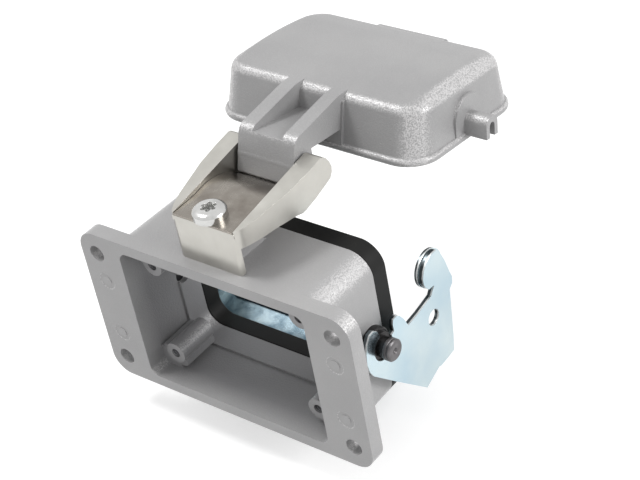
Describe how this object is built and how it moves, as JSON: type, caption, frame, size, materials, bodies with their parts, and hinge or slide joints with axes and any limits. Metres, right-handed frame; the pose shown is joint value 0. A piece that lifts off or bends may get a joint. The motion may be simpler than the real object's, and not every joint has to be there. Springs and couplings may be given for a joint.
{
  "type": "panel mounting rectangular connector housing",
  "caption": "Heavy duty rectangular connector housing for panel mounting, with black mating seal, sprung hinged metal cover standing open and a U-shaped locking lever.",
  "frame": {"origin": "centre of the flange's mounting face", "axes": "+X along the long side, +Y out of the panel toward the mating face, +Z toward the hinge side"},
  "size_m": [0.08, 0.0867, 0.0666],
  "materials": {
    "coat": "fine textured grey powder coat on die-cast metal",
    "seal": "matt black",
    "bracket": "satin nickel",
    "leaf": "bright rolled spring steel",
    "lever": "bright zinc with a blue tint",
    "screw": "bright zinc",
    "pin": "dark phosphated steel"
  },
  "bodies": {
    "base": {"housing": "coat", "mating_seal": "seal", "hinge_bracket": "bracket", "leaf_spring": "leaf", "bracket_screw": "screw", "hinge_pin": "screw", "lever_pin_left": "pin", "lever_pin_right": "pin"},
    "lid": {"cover": "coat"},
    "lever": {"locking_lever": "lever"}
  },
  "joints": [
    {"name": "cover_hinge", "type": "hinge", "parent": "base", "child": "lid", "pos_m": [0, 0.0299, 0.0346], "axis": [1, 0, 0], "range_deg": [-82, 4]},
    {"name": "lever_hinge", "type": "hinge", "parent": "base", "child": "lever", "pos_m": [0, 0.0172, 0], "axis": [1, 0, 0], "range_deg": [-56.6, 2.8]}
  ],
  "couplings": [
    {"joint": "lever_hinge", "follows": "cover_hinge", "ratio": 0.69}
  ]
}
